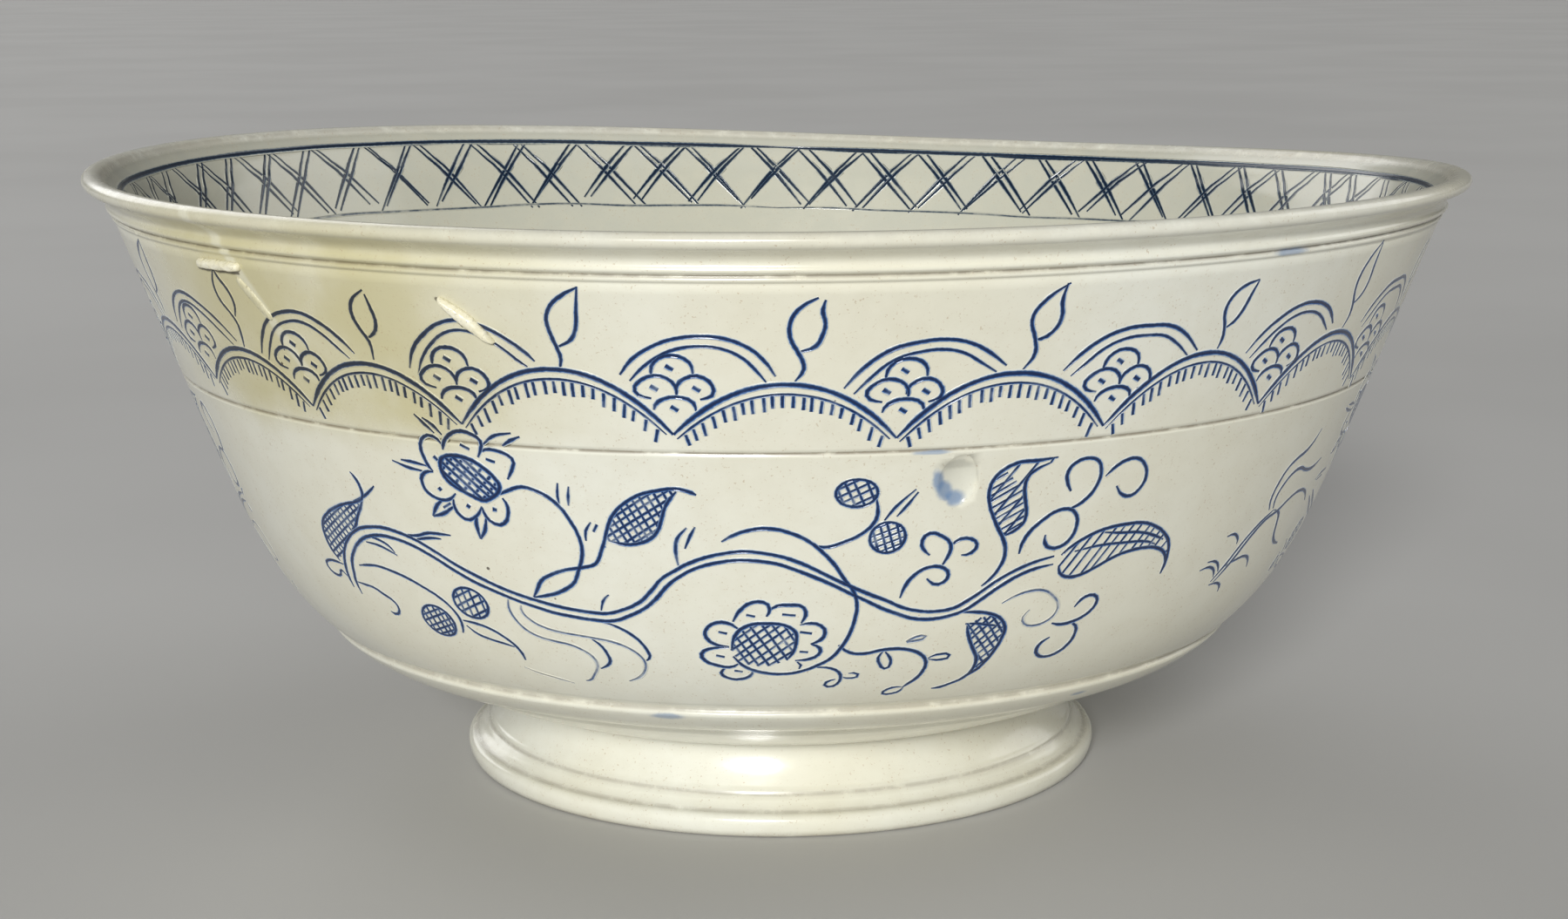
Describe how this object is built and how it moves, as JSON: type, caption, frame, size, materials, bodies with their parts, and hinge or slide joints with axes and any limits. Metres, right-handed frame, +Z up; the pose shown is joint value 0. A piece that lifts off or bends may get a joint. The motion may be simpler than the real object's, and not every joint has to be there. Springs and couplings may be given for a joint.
{
  "type": "punch bowl",
  "caption": "Wide footed punch bowl with a flared wall, moulded rim and turned foot ring, for serving drinks at a table.",
  "frame": {"origin": "centre of the ring that the foot stands on, at the level of the table", "axes": "+Z up through the bowl, -Y towards the side with the flower spray and the repairs to its left, +X to that side's right"},
  "size_m": [0.29, 0.29, 0.1314],
  "materials": {
    "glazed_body": "glossy salt glaze over cream stoneware, incised and filled with blue",
    "glazed_foot": "glossy salt glaze over cream stoneware",
    "repair_filler": "satin restorer's filler",
    "painted_rivet": "satin restorer's paint over wire"
  },
  "bodies": {
    "root": {"bowl_body": "glazed_body", "foot_ring": "glazed_foot", "crack_filler": "repair_filler", "rivet_upper": "painted_rivet", "rivet_lower": "painted_rivet"}
  },
  "joints": []
}
